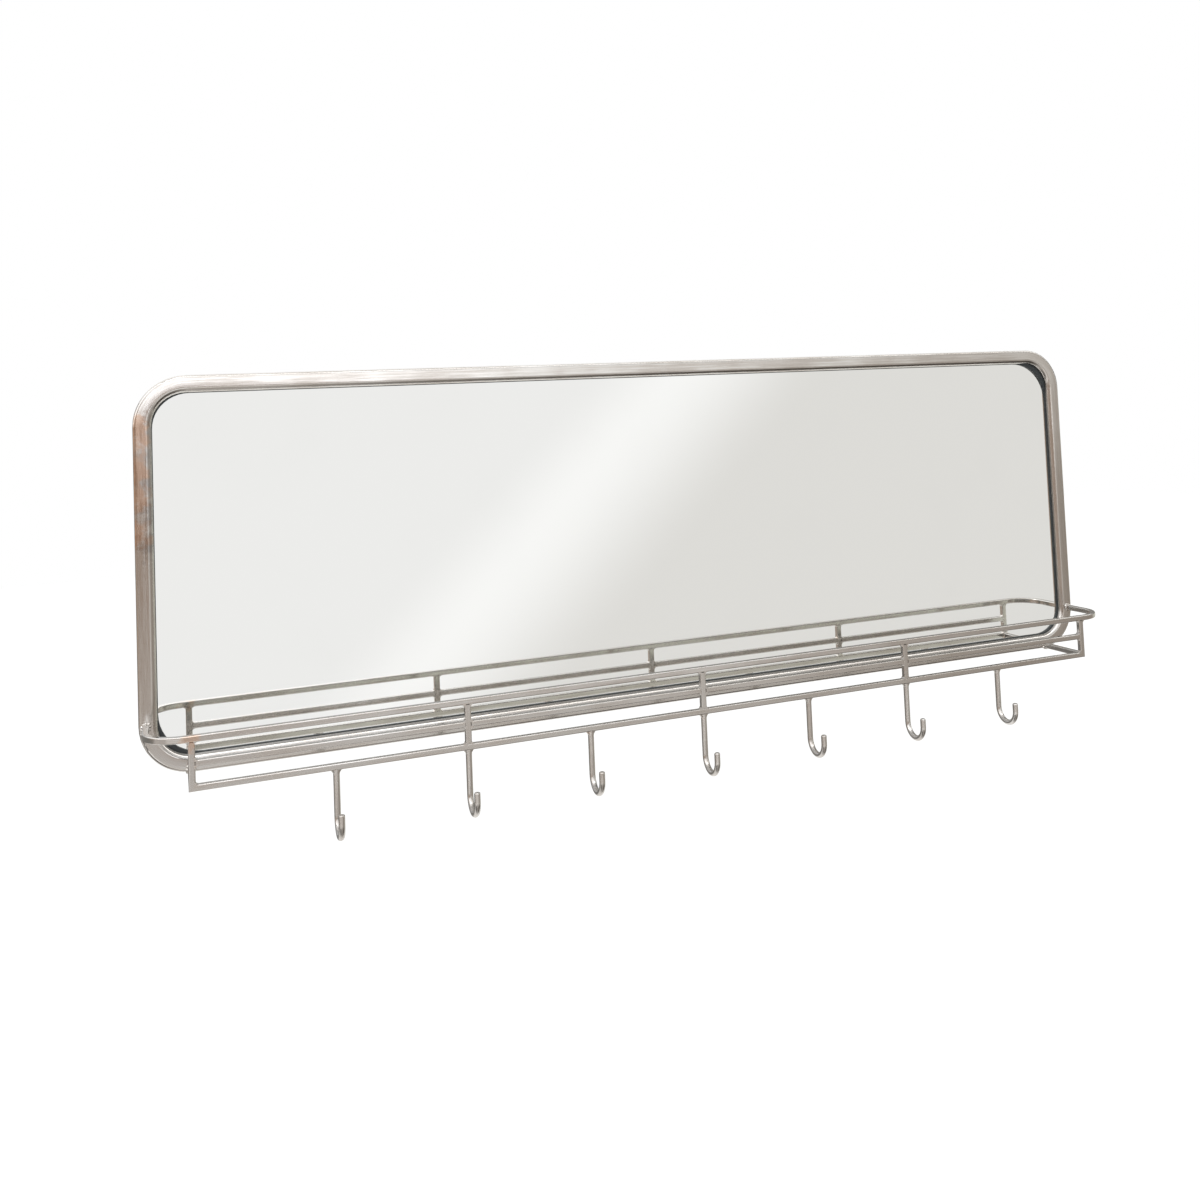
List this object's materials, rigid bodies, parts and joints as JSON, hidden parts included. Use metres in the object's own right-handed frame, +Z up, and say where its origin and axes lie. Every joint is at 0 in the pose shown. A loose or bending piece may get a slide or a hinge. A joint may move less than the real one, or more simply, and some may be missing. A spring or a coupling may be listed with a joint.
{
  "type": "wall mirror with rail and coat hooks",
  "caption": "Wide wall mirror in a bent tube frame with rounded corners, square-bar rails standing out below the glass and round-rod coat hooks hanging from the lowest rail.",
  "frame": {"origin": "midway between the entries of the two hanging keyholes, on the back face of the frame tube", "axes": "+X to the viewer's right along the width, +Y from the room into the wall, +Z up"},
  "size_m": [1.181, 0.127, 0.47],
  "materials": {
    "satin_steel": "warm grey satin steel with a clear coat, heat tint at some welds",
    "mirror_silver": "silvered float glass",
    "black_seal": "matte black sealant",
    "hardboard": "smooth brown hardboard",
    "zinc_steel": "bright zinc plating",
    "bumper_rubber": "matte black rubber"
  },
  "bodies": {
    "root": {"frame_tube": "satin_steel", "top_rail": "satin_steel", "hook_rail": "satin_steel", "middle_rail_1": "satin_steel", "middle_rail_2": "satin_steel", "middle_rail_3": "satin_steel", "middle_rail_4": "satin_steel", "post_1": "satin_steel", "post_2": "satin_steel", "post_3": "satin_steel", "post_4": "satin_steel", "post_5": "satin_steel", "return_bar_left": "satin_steel", "return_bar_right": "satin_steel", "hook_1": "satin_steel", "hook_2": "satin_steel", "hook_3": "satin_steel", "hook_4": "satin_steel", "hook_5": "satin_steel", "hook_6": "satin_steel", "hook_7": "satin_steel", "mirror_glass": "mirror_silver", "glazing_seal": "black_seal", "backing_board": "hardboard", "retaining_clips": "zinc_steel", "clip_screws": "zinc_steel", "wall_bumpers": "bumper_rubber"}
  },
  "joints": []
}
